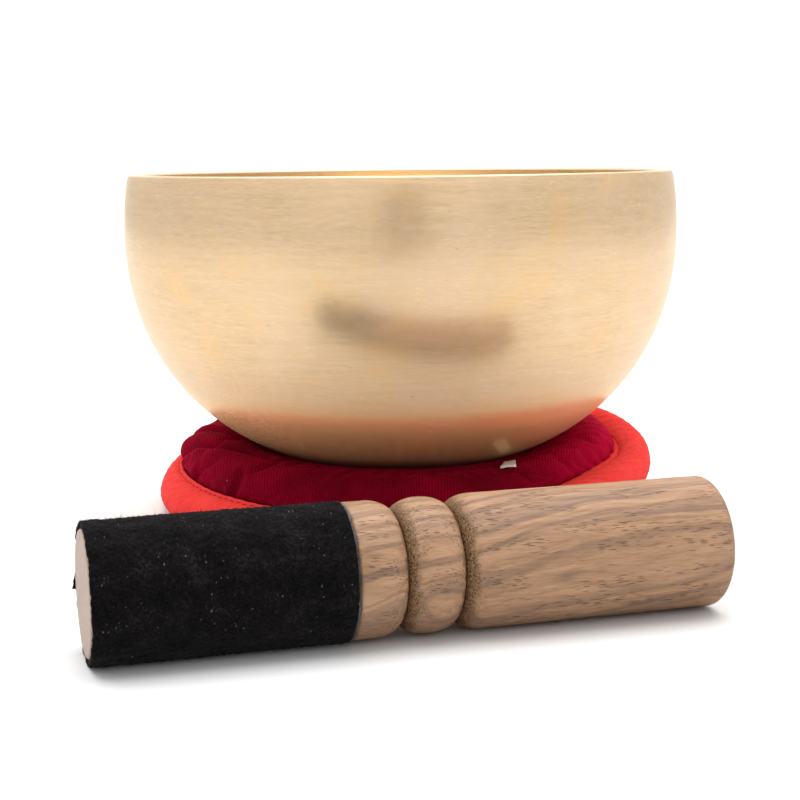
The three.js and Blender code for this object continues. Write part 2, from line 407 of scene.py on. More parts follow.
def bell_metal():
    """Pale bell metal, turned and brushed round its axis, with faint scratches, pits and stains, a
    painted reflection near the foot and painted light and shade inside.
    """
    s = Shader("bell_metal")
    flat = s.parts(s.where("UV"))
    length = s.math("SQRT", s.plus(s.math("POWER", flat[0], 2), s.math("POWER", flat[1], 2)))
    safe = s.math("MAXIMUM", length, 0.0005)
    east = s.math("DIVIDE", flat[0], safe)
    north = s.math("DIVIDE", flat[1], safe)

    def brushed(around, along, detail=2.0):
        vector = s.join(s.times(east, around), s.times(north, around), s.times(length, along))
        return s.noise(vector, 1.0, detail)

    fine = brushed(30.0, 3400.0)
    broad = brushed(4.0, 700.0)
    cloudy = s.noise(s.where(), 34.0, 4.0, 0.6)
    stain = s.noise(s.where(), 75.0, 3.0, 0.6)
    pits = s.cells(s.stretch(s.where(), (1, 1, 1.6)), 150.0)
    pit = s.times(s.between(pits, 0.07, 0.03), s.between(cloudy, 0.48, 0.58))
    scratch = s.noise(s.stretch(s.where(), (90, 90, 14), (0.5, 0.4, 0)), 1.0, 1.0)
    off_line = s.math("ABSOLUTE", s.minus(scratch, 0.5))
    scratched = s.times(s.between(off_line, 0.003, 0.0), s.between(stain, 0.53, 0.60))
    tone = s.plus(s.times(fine, 0.65), s.times(broad, 0.35))
    color = s.ramp(tone, [(0.3, (0.62, 0.445, 0.265)), (0.7, (0.79, 0.585, 0.365))])
    color = s.mix(s.between(stain, 0.52, 0.70, 0, 0.6), color, (0.76, 0.52, 0.26))
    color = s.mix(s.between(cloudy, 0.40, 0.66, 0, 0.5), color, (0.76, 0.57, 0.39))
    up = s.parts(s.where())[2]
    # Painted reflection: a warmer gold towards the foot.
    foot = s.between(up, FOOT_REFLECTION_TOP * MM, FOOT_REFLECTION_FULL * MM, 0, 0.8)
    color = s.mix(foot, color, (0.82, 0.60, 0.27))
    # Inside the bowl the surface faces its axis: painted light below the rim and painted shade towards
    # the floor.
    outward = s.node("VectorMath", {0: s.where(), 1: s.where("Normal")}, operation="DOT_PRODUCT")
    inside = s.between(outward.outputs["Value"], 0.002, -0.006)
    inside_rim_light = s.times(inside, s.between(up, INSIDE_PAINTED_LIGHT[0] * MM, INSIDE_PAINTED_LIGHT[1] * MM, 0, 0.75))
    color = s.mix(inside_rim_light, color, (0.90, 0.75, 0.56))
    inside_floor_shade = s.times(inside, s.between(up, INSIDE_PAINTED_SHADE[0] * MM, INSIDE_PAINTED_SHADE[1] * MM, 0, 0.85))
    color = s.mix(inside_floor_shade, color, (0.46, 0.31, 0.17))
    color = s.mix(s.times(pit, 0.7), color, (0.30, 0.20, 0.11))
    color = s.mix(s.times(scratched, 0.5), color, (0.95, 0.74, 0.42))
    # Far below the width of a brush line the metal is partly polished and partly matt.
    spot = s.node("TexWhiteNoise", {"Vector": s.where()}, noise_dimensions="3D").outputs["Value"]
    polished = s.plus(s.times(fine, 0.12), s.between(cloudy, 0.3, 0.7, 0.15, 0.20))
    matt = s.times(s.math("LESS_THAN", spot, MATT_SHARE), MATT_ROUGHNESS)
    rough = s.math("MAXIMUM", polished, matt)
    height = s.plus(s.times(fine, 0.75), s.times(broad, 0.25))
    height = s.minus(height, s.times(pit, 3.0))
    s.set(Base_Color=color, Metallic=0.95, Roughness=rough, Normal=s.bump(height, 0.00002))
    s.set(Specular_IOR_Level=0.1)
    return s


# ---------------------------------------------------------------- cushion shape


def around(azimuth, right, back, left, front):
    """A value that passes smoothly through the ones on the cushion's four sides."""
    mean = (right + back + left + front) / 4
    first = (right - left) / 2 * np.cos(azimuth) + (back - front) / 2 * np.sin(azimuth)
    return mean + first + (right - back + left - front) / 4 * np.cos(2 * azimuth)


CUSHION_COLUMNS = 180
CUSHION_FINER = 3
cushion_azimuth = full_turn(CUSHION_COLUMNS)
# How many rows of the grid each part of the cushion has, from the middle of the underside to the dish.
ROWS = {"flat": 8, "lower": 11, "upper": 9, "outer": 14, "inner": 12, "dish": 12}


def cushion_grid():
    """The cushion as it is before it swells, as one closed grid, and the row of its seam.

    Radii are measured from the cushion's own centre, and set_back carries them there.
    """
    a = cushion_azimuth
    flat_edge = (FLAT_RADIUS + around(a, -5.0, -3.0, 2.5, 0.0), 0 * a)
    widest = (CUSHION_RADIUS + around(a, 1.8, 0.5, 0.4, -2.2), around(a, 15.5, 12.5, 6.2, 5.5))
    seam = (SEAM_RADIUS + around(a, -1.0, -1.0, 1.2, 0.5), SEAM_HEIGHT + around(a, 2.2, 3.0, 0.5, -4.2))
    seam = (seam[0] - 4.0 * bulge(a, -42, 30), seam[1] + 1.0 * bulge(a, -35, 25))
    rise = around(a, 4.5, 4.5, 0.3, 1.0) + 5.0 * bulge(a, 32, 26)
    crest_height = CREST_HEIGHT + around(a, 0.5, 1.0, 0.0, -5.4) - 2.2 * bulge(a, -48, 30)
    crest = (CREST_RADIUS + around(a, 1.0, 0.0, -1.0, -1.0), crest_height)
    contact = underside(CONTACT_RADIUS, GAP)
    flat_radius = np.linspace(0, 1, ROWS["flat"])[:, None] * flat_edge[0]
    flat = (flat_radius, 0 * flat_radius)
    lower = bezier(
        flat_edge, (flat_edge[0] + 8, 0 * a),
        (widest[0] - 0.3, widest[1] * 0.5), widest, ROWS["lower"],
    )
    upper = bezier(
        widest, (widest[0], widest[1] + 4 + rise),
        (seam[0] + 4.0, seam[1] + rise), seam, ROWS["upper"],
    )
    outer = bezier(
        seam, (seam[0] + 0.8, seam[1] + 4.2), (crest[0] + 6.5, crest[1]), crest, ROWS["outer"],
    )
    inner = bezier(
        crest, (crest[0] - 5, crest[1]), (CONTACT_RADIUS + 9 + 0 * a, contact + 1 + 0 * a),
        (CONTACT_RADIUS + 0 * a, contact + 0 * a), ROWS["inner"],
    )
    dish_radius = np.linspace(CONTACT_RADIUS, 0, ROWS["dish"])[:, None] + 0 * a
    dish = (dish_radius, underside(dish_radius, GAP))
    sections = [flat, lower, upper, outer, inner, dish]
    radius = np.concatenate([part[0][min(n, 1):] for n, part in enumerate(sections)])
    height = np.concatenate([part[1][min(n, 1):] for n, part in enumerate(sections)])
    grid = np.stack([radius * np.cos(a), radius * np.sin(a) + set_back(radius), height], -1)
    seam_row = ROWS["flat"] + ROWS["lower"] + ROWS["upper"] - 3
    return grid, seam_row


def bulge(azimuth, middle, width):
    """1 at one azimuth, falling to 0 about it. Both are in degrees from +X."""
    away = (np.degrees(azimuth) - middle + 180) % 360 - 180
    return np.exp(-((away / width) ** 2))


def set_back(radius):
    """The bowl stands in front of the cushion's own centre, so the outer parts lie further back."""
    return OFF_CENTRE * smooth_step(radius, CONTACT_RADIUS, SEAM_RADIUS)


def hold_weights(rings, seam_row):
    """How firmly each ring is held while the cushion swells: by the table, the seam and the bowl."""
    held = np.zeros(rings)
    held[:seam_row] = COTTON_HOLD
    held[: ROWS["flat"]] = 1
    held[seam_row] = 1
    pressed = ROWS["inner"] + ROWS["dish"] - 1
    held[-pressed:] = np.minimum(np.linspace(0, pressed / ROWS["inner"], pressed), 1)
    return held


CLOTH_SCALE = 10.0
SWELL_FRAMES = 20
SWELL_CAP = 2.6
COTTON_HOLD = 0.85


def swell(grid, held):
    """Cloth simulation of the stuffed cushion: pressure from inside, and cloth a little too big."""
    rings, columns, _ = grid.shape
    pad = ring_solid("swelling_pad", grid * CLOTH_SCALE)
    weights = np.concatenate([held[:1], np.repeat(held[1:-1], columns), held[-1:]])
    group = pad.vertex_groups.new(name="held")
    for weight in np.unique(weights[weights > 0]):
        group.add(np.flatnonzero(weights == weight).tolist(), float(weight), "REPLACE")
    cloth = pad.modifiers.new("cloth", "CLOTH")
    settings = cloth.settings
    settings.quality = 6
    settings.mass = 0.15
    settings.tension_stiffness = 8
    settings.compression_stiffness = 8
    settings.shear_stiffness = 3
    settings.bending_stiffness = 0.05
    settings.use_pressure = True
    settings.uniform_pressure_force = 4
    settings.shrink_min = -0.02
    settings.vertex_group_mass = group.name
    settings.effector_weights.gravity = 0
    cloth.collision_settings.use_collision = False
    scene = bpy.context.scene
    for number in range(1, SWELL_FRAMES + 1):
        scene.frame_set(number)
    evaluated = pad.evaluated_get(bpy.context.evaluated_depsgraph_get())
    points = np.zeros(len(pad.data.vertices) * 3)
    evaluated.data.vertices.foreach_get("co", points)
    points = points.reshape(-1, 3) / MM / CLOTH_SCALE
    bpy.data.objects.remove(pad)
    scene.frame_set(1)
    swollen = grid.copy()
    swollen[1:-1] = points[1:-1].reshape(rings - 2, columns, 3)
    move = swollen - grid
    length = np.linalg.norm(move, axis=-1, keepdims=True)
    move *= SWELL_CAP / np.maximum(length, SWELL_CAP)
    return grid + move


def keep_clear(grid, seam_row):
    """Keeps the cushion on the table, under the bowl and behind the mallet."""
    grid = grid.copy()
    grid[..., 2] = np.maximum(grid[..., 2], 0)
    radius = np.hypot(grid[..., 0], grid[..., 1])
    top = slice(seam_row, None)
    limit = underside(radius[top], 0) - GAP / 2
    grid[top][..., 2] = np.minimum(grid[top][..., 2], limit)
    across = np.array([math.sin(MALLET_YAW), -math.cos(MALLET_YAW), 0])
    reach = grid @ across
    height = grid[..., 2] - MALLET_RADIUS
    room = MALLET_DISTANCE - np.sqrt(np.maximum((MALLET_RADIUS + GAP) ** 2 - height**2, 0))
    excess = np.where(np.abs(height) < MALLET_RADIUS, np.maximum(reach - room, 0), 0)
    return grid - excess[..., None] * across


# ---------------------------------------------------------------- cushion pieces


def ring_lengths(grid):
    """Distance of each ring from the first, along the surface, on average round the ring."""
    steps = np.linalg.norm(np.diff(grid, axis=0), axis=-1).mean(1)
    return np.concatenate([[0], np.cumsum(steps)])


FOLD_STRENGTH = 1.35
# Soft folds of the velvet as seen from above: start, bend and end of each in millimetres, its depth and
# its width. The first ones lie at the left of the bowl, then come the right, the front and the back.
VELVET_FOLDS = [
    ((-76, 15), (-64, -2), (-40, -22), 2.6, 1.4),
    ((-78, 4), (-66, -16), (-44, -34), 2.4, 1.3),
    ((-69, -22), (-66, -26), (-61, -28), 0.8, 1.1),
    ((-57, -44), (-54, -43), (-52, -40), 0.8, 1.1),
    ((46, 22), (56, 20), (64, 23), 0.5, 0.9),
    ((46, 13), (58, 11), (67, 14), 0.6, 0.9),
    ((42, 5), (58, 3), (69, 7), 0.7, 0.9),
    ((44, -3), (58, -5), (68, 0), 0.7, 0.8),
    ((40, -11), (55, -12), (66, -7), 0.8, 0.9),
    ((38, -19), (52, -20), (63, -14), 0.8, 0.8),
    ((36, -27), (48, -28), (60, -22), 0.9, 0.9),
    ((38, -36), (46, -35), (56, -30), 0.9, 0.8),
    ((30, -48), (38, -47), (48, -41), 0.7, 1.0),
    ((-44, 58), (-60, 50), (-70, 34), 1.2, 1.8),
    ((-10, 68), (-30, 66), (-48, 66), 1.0, 1.8),
    ((6, 60), (24, 66), (44, 66), 1.0, 1.8),
    ((34, 48), (50, 50), (64, 40), 1.1, 1.8),
]


def fold_depth(grid):
    """How deep the folds press the velvet in, at each point of its grid."""
    depth = np.zeros(grid.shape[:2])
    share = np.linspace(0, 1, 26)[:, None]
    for start, bend, end, amount, width in VELVET_FOLDS:
        start, bend, end = (np.array(corner, float) for corner in (start, bend, end))
        line = (1 - share) ** 2 * start + 2 * share * (1 - share) * bend + share**2 * end
        strength = np.sin(np.pi * (0.2 + 0.74 * share[:, 0])) ** 0.6
        nearest = np.full(depth.shape, 1e9)
        best = np.zeros(depth.shape)
        for point, strong in zip(line, strength):
            distance = np.hypot(grid[..., 0] - point[0], grid[..., 1] - point[1])
            closer = distance < nearest
            nearest = np.where(closer, distance, nearest)
            best = np.where(closer, strong, best)
        # A narrow crease between two swollen rolls.
        crease = np.exp(-((nearest / width) ** 2))
        rolls = 0.45 * np.exp(-(((nearest - 2.6 * width) / (1.5 * width)) ** 2))
        depth += FOLD_STRENGTH * amount * best * (crease - rolls)
    return depth


def hem_and_stitch_line(lengths):
    """Height of the cotton's folded edge, and of the furrow that its stitching pulls in."""
    from_edge = lengths[-1] - lengths
    hem = 0.7 * np.exp(-(((from_edge - 0.7) / 0.55) ** 2))
    furrow = -0.6 * np.exp(-(((from_edge - STITCH_INSET) / 0.8) ** 2))
    return hem, furrow


# How deep the velvet dives at its seam, and over what width.
TUCK = 0.9
STITCH_INSET = 2.1
STITCH_PITCH = 2.9
STITCH_LENGTH = 2.2
THREAD_RADIUS = 0.19


def make_cushion():
    """The whole cushion: simulated as one closed pad, then cut at its seam into its two cloths."""
    grid, seam_row = cushion_grid()
    grid = swell(grid, hold_weights(len(grid), seam_row))
    grid = keep_clear(grid, seam_row)
    grid = finer(finer(grid, CUSHION_FINER, 0, False), CUSHION_FINER, 1, True)
    seam = seam_row * CUSHION_FINER
    normals = grid_normals(grid)
    azimuth = full_turn(grid.shape[1])
    make_cotton(grid[: seam + 1], normals[: seam + 1], azimuth)
    make_velvet(grid[seam:], normals[seam:], azimuth)
    make_filling(grid, normals)


def make_cotton(grid, normals, azimuth):
    lengths = ring_lengths(grid)
    hem, furrow = hem_and_stitch_line(lengths)
    stitches = round(lengths_round(grid[-1]) / STITCH_PITCH)
    pull = 0.75 + 0.25 * np.cos(azimuth * stitches)
    wander = 1 + 0.35 * ring_noise(grid.shape[:2], 3, 40, 5)
    stand = 0.8 + 2.0 * bulge(azimuth, -24, 17) - 0.5 * bulge(azimuth, 35, 30)
    raised = (hem[:, None] * wander + furrow[:, None] * pull) * stand
    slack = 0.05 * ring_noise(grid.shape[:2], 7, 26, 8) * smooth_step(grid[..., 2], 1, 8)
    outside = grid + normals * (raised + slack)[..., None]
    outside[..., 2] = np.maximum(outside[..., 2], 0)
    make_stitches(outside, normals, lengths, stitches)
    inside = grid - normals * COTTON
    shell = np.concatenate([outside, inside[::-1]])
    all_lengths = np.concatenate([lengths, lengths[-1] + COTTON + (lengths[-1] - lengths[::-1])])
    piece = ring_solid("cushion_cotton", shell, all_lengths)
    dress(piece, red_cotton(), "cushion", "red_cotton", "cushion_base_cloth")


def lengths_round(ring):
    return np.linalg.norm(ring - np.roll(ring, -1, axis=0), axis=1).sum()


def make_velvet(grid, normals, azimuth):
    lengths = ring_lengths(grid)
    shape = grid.shape[:2]
    from_seam = lengths[:, None]
    to_dish = lengths[-ROWS["dish"] * CUSHION_FINER]
    free = smooth_step(from_seam, 0, 2.5) * (1 - smooth_step(from_seam, to_dish - 3, to_dish + 4))
    folds = fold_depth(grid)
    gathers = 0.22 * np.sin(azimuth * 61 + 2.5 * ring_noise(shape, 2, 9, 3)) * np.exp(-from_seam / 3)
    crumple = 0.16 * ring_noise(shape, 9, 30, 4) + 0.07 * ring_noise(shape, 30, 96, 6)
    raised = free * (crumple - folds) + gathers
    outside = grid + normals * raised[..., None]
    outside = outside - normals * TUCK * np.exp(-from_seam / TUCK)[..., None]
    outside = keep_clear(outside, 0)
    make_label(outside)
    inside = grid - normals * VELVET
    shell = np.concatenate([inside[::-1], outside])
    from_middle = lengths[-1] - lengths
    all_lengths = np.concatenate([from_middle[::-1], from_middle])
    piece = ring_solid("cushion_velvet", shell, all_lengths)
    dress(piece, crimson_velvet(), "cushion", "crimson_velvet", "cushion_velvet_top")


def make_filling(grid, normals):
    inside = grid - normals * (VELVET + GAP)
    lumps = 0.3 * ring_noise(grid.shape[:2], 18, 50, 12)
    inside = inside + normals * np.minimum(lumps, 0)[..., None]
    piece = ring_solid("cushion_stuffing", inside, ring_lengths(grid))
    dress(piece, stuffing(), "cushion", "cotton_filling", "cushion_filling")


def make_stitches(cloth, normals, lengths, count):
    """Separate stitches along the furrow, each a small rod whose ends dive into the cloth."""
    row = int(np.argmin(np.abs(lengths[-1] - lengths - STITCH_INSET)))
    line = cloth[row]
    lift = normals[row]
    columns = len(line)
    rings, sides = 6, 6
    share = STITCH_LENGTH / STITCH_PITCH
    points, faces = [], []
    turn = full_turn(sides)
    for stitch in range(count):
        at = (stitch + np.linspace(0, share, rings)) / count * columns
        low = np.floor(at).astype(int) % columns
        t = (at - np.floor(at))[:, None]
        centre = line[low] * (1 - t) + line[(low + 1) % columns] * t
        up = lift[low]
        along = centre[-1] - centre[0]
        along = along / np.linalg.norm(along)
        side = np.cross(along, up)
        rise = THREAD_RADIUS * (1.3 * np.sin(np.linspace(0, np.pi, rings)) - 0.55)
        thick = THREAD_RADIUS * np.array([0.35, 0.85, 1.0, 1.0, 0.85, 0.35])
        centre = centre + up * rise[:, None]
        base = len(points) * sides * rings
        ring = (
            centre[:, None]
            + side[:, None] * (np.cos(turn) * thick[:, None])[..., None]
            + up[:, None] * (np.sin(turn) * thick[:, None])[..., None]
        )
        points.append(ring.reshape(-1, 3))
        faces += rod_faces(base, rings, sides, reverse=True)
    piece = mesh_object("cushion_stitches", np.concatenate(points), faces)
    dress(piece, red_thread(), "cushion", "red_thread", "cushion_seam_thread")


# Widths of a pile row and of a woven thread pair, in metres on the flat cloth.
PILE_PITCH = 0.001
WEAVE_PITCH = 0.0007


def crimson_velvet():
    """Crimson velvet: fine pile rows from front to back, a soft sheen, a little lint, and painted light
    and painted sheen towards its right side.
    """
    s = Shader("crimson_velvet")
    flat = s.where("UV")
    wobble = s.noise(flat, 60.0, 2.0)
    x = s.plus(s.parts(flat)[0], s.times(wobble, 0.0006))
    rows = s.math("SINE", s.times(x, 2 * math.pi / PILE_PITCH))
    rows = s.plus(s.times(rows, 0.5), 0.5)
    tufts = s.noise(s.stretch(flat, (1.0, 0.35, 1.0)), 2200.0, 2.0)
    brushed = s.noise(flat, 55.0, 3.0, 0.6)
    side = s.parts(s.where())[0]
    row_strength_and_sheen = s.between(s.noise(flat, 28.0, 2.0), 0.35, 0.65, 0.10, 0.26)
    # Painted sheen: the pile rows show more strongly towards the right side.
    row_strength_and_sheen = s.plus(row_strength_and_sheen, s.between(side, 0.030, 0.065, 0, 0.2))
    value = s.plus(s.times(rows, row_strength_and_sheen), s.times(tufts, 0.45))
    value = s.plus(value, s.times(brushed, 0.4))
    # Painted light: brighter towards the right side, and a little towards the far left.
    painted_side_light = s.plus(s.between(side, 0.030, 0.078, 0, 0.45), s.between(side, -0.048, -0.072, 0, 0.08))
    value = s.plus(value, painted_side_light)
    dark, middle, light = (0.05, 0.0, 0.003), (0.16, 0.0, 0.010), (0.42, 0.001, 0.032)
    color = s.ramp(value, [(0.25, dark), (0.55, middle), (1.0, light)])
    lint = s.between(s.cells(s.stretch(flat, (1, 0.5, 1)), 420.0), 0.09, 0.04)
    lint = s.times(lint, s.between(s.noise(flat, 45.0, 2.0), 0.6, 0.72))
    color = s.mix(s.times(lint, 0.5), color, (0.55, 0.24, 0.24))
    height = s.plus(s.times(rows, row_strength_and_sheen), s.times(tufts, 0.7))
    s.set(Base_Color=color, Roughness=0.95, Normal=s.bump(height, 0.0003))
    s.set(Sheen_Weight=0.4, Sheen_Roughness=0.35, Sheen_Tint=(0.9, 0.01, 0.07, 1))
    s.set(Specular_IOR_Level=0.04)
    return s


def red_cotton():
    """Bright red plain-weave cotton."""
    s = Shader("red_cotton")
    flat = s.where("UV")
    wobble = s.noise(flat, 90.0, 2.0, color=True)
    across, along = s.parts(s.shifted(flat, wobble, 0.0012))[:2]

    def wave(value):
        return s.math("SINE", s.times(value, 2 * math.pi / WEAVE_PITCH))

    weave = s.times(wave(across), wave(along))
    slub = s.noise(s.stretch(flat, (1.0, 0.08, 1.0)), 900.0, 2.0)
    cloudy = s.noise(flat, 40.0, 3.0)
    value = s.plus(s.times(weave, 0.16), s.times(slub, 0.5))
    value = s.plus(value, s.times(cloudy, 0.3))
    dark, middle, light = (0.66, 0.018, 0.016), (0.86, 0.045, 0.040), (0.94, 0.085, 0.075)
    color = s.ramp(value, [(0.15, dark), (0.45, middle), (0.8, light)])
    height = s.plus(s.times(weave, 0.5), s.times(slub, 0.5))
    s.set(Base_Color=color, Roughness=0.85, Normal=s.bump(height, 0.00012))
    s.set(Sheen_Weight=0.2, Sheen_Roughness=0.5, Sheen_Tint=(1.0, 0.3, 0.26, 1))
    s.set(Specular_IOR_Level=0.05)
    return s


def red_thread():
    s = Shader("red_thread")
    twist = s.noise(s.where(), 3000.0, 2.0)
    color = s.ramp(twist, [(0.3, (0.30, 0.004, 0.006)), (0.7, (0.55, 0.012, 0.014))])
    s.set(Base_Color=color, Roughness=0.8, Normal=s.bump(twist, 0.00008), Specular_IOR_Level=0.1)
    return s


def stuffing():
    s = Shader("cotton_stuffing")
    fibre = s.noise(s.stretch(s.where(), (1, 0.2, 1)), 1500.0, 4.0, 0.6)
    color = s.ramp(fibre, [(0.3, (0.62, 0.58, 0.50)), (0.7, (0.88, 0.85, 0.78))])
    s.set(Base_Color=color, Roughness=0.95, Normal=s.bump(fibre, 0.0004))
    return s


# ---------------------------------------------------------------- label


LABEL_MIDDLE = (34.0, -40.2)
LABEL_WIDTH = 4.4
LABEL_LENGTH = 11.0
LABEL_THICKNESS = 0.22
# The ribbon lies this far above the highest velvet within reach, and as far under the bowl.
LABEL_LIFT = 0.35
LABEL_REACH = 1.2


def make_label(velvet):
    """A small blank ribbon label that lies on the velvet and shows beside the bowl's foot."""
    rows, columns = 18, 10
    x = LABEL_MIDDLE[0] + np.linspace(-LABEL_WIDTH / 2, LABEL_WIDTH / 2, columns)[None, :]
    y = LABEL_MIDDLE[1] + np.linspace(LABEL_LENGTH / 2, -LABEL_LENGTH / 2, rows)[:, None]
    nearer = LABEL_MIDDLE[1] - y
    x = LABEL_MIDDLE[0] + (x - LABEL_MIDDLE[0]) * (1 + 0.03 * nearer) - 0.12 * nearer
    y = y + 0 * x
    near = velvet.reshape(-1, 3)
    near = near[np.hypot(near[:, 0] - LABEL_MIDDLE[0], near[:, 1] - LABEL_MIDDLE[1]) < LABEL_LENGTH]
    away = np.hypot(x[..., None] - near[:, 0], y[..., None] - near[:, 1])
    height = np.where(away < LABEL_REACH, near[:, 2], 0).max(-1) + LABEL_LIFT
    height = height + 0.35 * smooth_step(np.abs(y - LABEL_MIDDLE[1] + 4), 2, 0)
    height = np.minimum(height, underside(np.hypot(x, y), 0) - LABEL_LIFT)
    top = np.stack([x, y, height], -1)
    bottom = np.stack([x, y, height - LABEL_THICKNESS], -1)
    sections = np.concatenate([top, bottom[:, ::-1]], axis=1).reshape(-1, 3)
    piece = mesh_object("cushion_ribbon_label", sections, rod_faces(0, rows, 2 * columns, reverse=True))
    dress(piece, ribbon(), "cushion", "label_ribbon", "cushion_label")


def ribbon():
    s = Shader("label_ribbon")
    weave = s.noise(s.stretch(s.where(), (1, 0.3, 1)), 5000.0, 2.0)
    color = s.ramp(weave, [(0.3, (0.66, 0.62, 0.60)), (0.7, (0.86, 0.84, 0.82))])
    s.set(Base_Color=color, Roughness=0.5, Normal=s.bump(weave, 0.00004))
    return s


# ---------------------------------------------------------------- mallet


def place_mallet(piece):
    """Meshes of the mallet are made along X about the mallet's middle, and set down here."""
    turned = Matrix.Rotation(MALLET_YAW, 4, "Z")
    piece.matrix_world = Matrix.Translation(Vector(mallet_middle * MM)) @ turned
    return piece


def quarter(centre_x, centre_r, half_x, half_r, start, end, steps):
    angle = np.radians(np.linspace(start, end, steps))
    return centre_x + half_x * np.cos(angle), centre_r + half_r * np.sin(angle)


def stick_profile():
    """Outline of the stick as (place along the axis, radius) from the suede end to the handle's end."""
    half = MALLET_LENGTH / 2
    full = MALLET_RADIUS
    core = full - SUEDE_THICKNESS - GAP
    start = -half
    shoulder = -half + SUEDE_LENGTH + GAP
    swell_up = full - GROOVE_RADIUS
    bead = (FIRST_GROOVE + SECOND_GROOVE) / 2
    bead_half = (SECOND_GROOVE - FIRST_GROOVE) / 2
    face_r = np.linspace(0, core - 0.4, 24)
    core_x = np.linspace(start + 0.4, shoulder, 30)
    collar_x = np.linspace(shoulder + 0.25, COLLAR_END, 10)[:-1]
    handle_x = np.linspace(HANDLE_START, half - END_ROUNDING, 110)[1:-1]
    end_r = np.linspace(full - END_ROUNDING, 0, 24)[1:]
    parts = [
        (np.full(24, start), face_r),
        (core_x, np.full(30, core)),
        (collar_x, np.full(9, full - 0.05)),
        quarter(COLLAR_END, GROOVE_RADIUS, FIRST_GROOVE - COLLAR_END, swell_up, 90, 0, 22),
        tuple(v[1:-1] for v in quarter(bead, GROOVE_RADIUS, bead_half, swell_up, 180, 0, 46)),
        quarter(HANDLE_START, GROOVE_RADIUS, HANDLE_START - SECOND_GROOVE, swell_up, 180, 90, 22),
        (handle_x, np.full(len(handle_x), full)),
        quarter(half - END_ROUNDING, full - END_ROUNDING, END_ROUNDING, END_ROUNDING, 90, 0, 12),
        (np.full(23, half), end_r),
    ]
    return np.concatenate([p[0] for p in parts]), np.concatenate([p[1] for p in parts])


def rings_along_x(place, radius):
    """Rings round the X axis, which face outwards when place grows."""
    columns = radius.shape[1]
    angle = full_turn(columns)
    place = place[:, None] + 0 * angle if place.ndim == 1 else place
    return np.stack([place, radius * np.cos(angle), radius * np.sin(angle)], -1)


def make_stick():
    place, radius = stick_profile()
    radius = np.repeat(radius[:, None], STICK_COLUMNS, axis=1)
    turned = 0.05 * ring_noise(radius.shape, 60, 12, 21)
    radius = np.where(radius > 1, radius + turned, radius)
    piece = ring_solid("mallet_wood", rings_along_x(place, radius))
    dress(place_mallet(piece), hardwood(), "mallet", "hardwood", "mallet_stick")


def hardwood():
    """Dry brown hardwood with wavy dark figure and long open pores, solid through the stick."""
    s = Shader("hardwood")
    where = s.where()
    bend = s.noise(s.stretch(where, (14.0, 34.0, 34.0)), 1.0, 2.0, 0.5, color=True)
    centred = s.node("VectorMath", {0: bend, 1: (0.5, 0.5, 0.5)}, operation="SUBTRACT").outputs[0]
    grown = s.shifted(where, centred, 0.02)
    along, y, z = s.parts(where)[0], s.parts(grown)[1], s.parts(grown)[2]
    across = s.plus(s.plus(y, 0.024), s.times(along, 0.05))
    depth = s.plus(s.plus(z, 0.016), s.times(along, -0.22))
    radius = s.math("SQRT", s.plus(s.math("POWER", across, 2), s.math("POWER", depth, 2)))
    ring = s.math("FRACT", s.times(radius, 1 / 0.0075))
    late = s.times(s.between(ring, 0.5, 0.85), s.between(ring, 1.0, 0.92))
    vein = s.noise(s.join(s.times(along, 10.0), s.times(radius, 300.0), 0.0), 1.0, 3.0, 0.65)
    fibre = s.noise(s.stretch(where, (170.0, 2600.0, 2600.0)), 1.0, 3.0, 0.65)
    streak = s.noise(s.stretch(grown, (36.0, 650.0, 650.0)), 1.0, 3.0, 0.6)
    tone = s.plus(s.times(fibre, 0.45), s.times(streak, 0.55))
    dark, middle, light = (0.20, 0.106, 0.054), (0.335, 0.188, 0.103), (0.47, 0.278, 0.162)
    color = s.ramp(tone, [(0.3, dark), (0.5, middle), (0.72, light)])
    color = s.mix(s.between(vein, 0.56, 0.36, 0, 0.3), color, (0.46, 0.285, 0.175))
    color = s.mix(s.times(s.between(vein, 0.5, 0.66), 0.6), color, (0.125, 0.080, 0.062))
    color = s.mix(s.times(late, 0.4), color, (0.145, 0.088, 0.062))
    pores = s.cells(s.stretch(where, (260.0, 2600.0, 2600.0)), 1.0)
    sparse = s.between(s.noise(s.stretch(where, (60.0, 260.0, 260.0)), 1.0, 2.0), 0.40, 0.60)
    pore = s.times(s.between(pores, 0.36, 0.2), sparse)
    color = s.mix(s.times(pore, 0.7), color, (0.060, 0.034, 0.024))
    grain_end = end_grain(s, along, where)
    ragged = s.between(s.noise(s.stretch(where, (1.0, 0.6, 0.6)), 3200.0, 2.0), 0.34, 0.66)
    color = s.mix(grain_end, color, s.mix(ragged, (0.045, 0.022, 0.010), (0.25, 0.132, 0.055)))
    half = MALLET_LENGTH / 2 * MM
    face = s.between(along, -half + 0.0006, -half + 0.0001)
    sawn = s.mix(fibre, (0.34, 0.245, 0.205), (0.50, 0.385, 0.335))
    color = s.mix(s.times(face, 0.85), color, sawn)
    height = s.minus(s.times(fibre, 0.5), pore)
    height = s.plus(height, s.times(grain_end, s.noise(where, 1500.0, 2.0)))
    s.set(Base_Color=color, Roughness=s.between(streak, 0.3, 0.7, 0.62, 0.5))
    s.set(Normal=s.bump(height, 0.00014), Specular_IOR_Level=0.3)
    return s


def end_grain(s, along, where):
    """1 on the steep flanks of the grooves, where the turning has cut across the fibres."""
    ragged = s.times(s.minus(s.noise(where, 500.0, 3.0, 0.6), 0.5), 0.004)
    place = s.plus(along, ragged)
    total = 0.0
    for groove, left, right in ((FIRST_GROOVE, 1.3, 3.4), (SECOND_GROOVE, 1.3, 3.6)):
        rise = s.between(place, (groove - left) * MM, (groove - 0.2) * MM)
        fall = s.between(place, (groove + right) * MM, (groove + right * 0.3) * MM)
        total = s.math("ADD", total, s.times(rise, fall), clamp=True)
    return s.times(total, 0.95)


SUEDE_SLIT = 0.12
SUEDE_SLIT_ANGLE = math.radians(80)


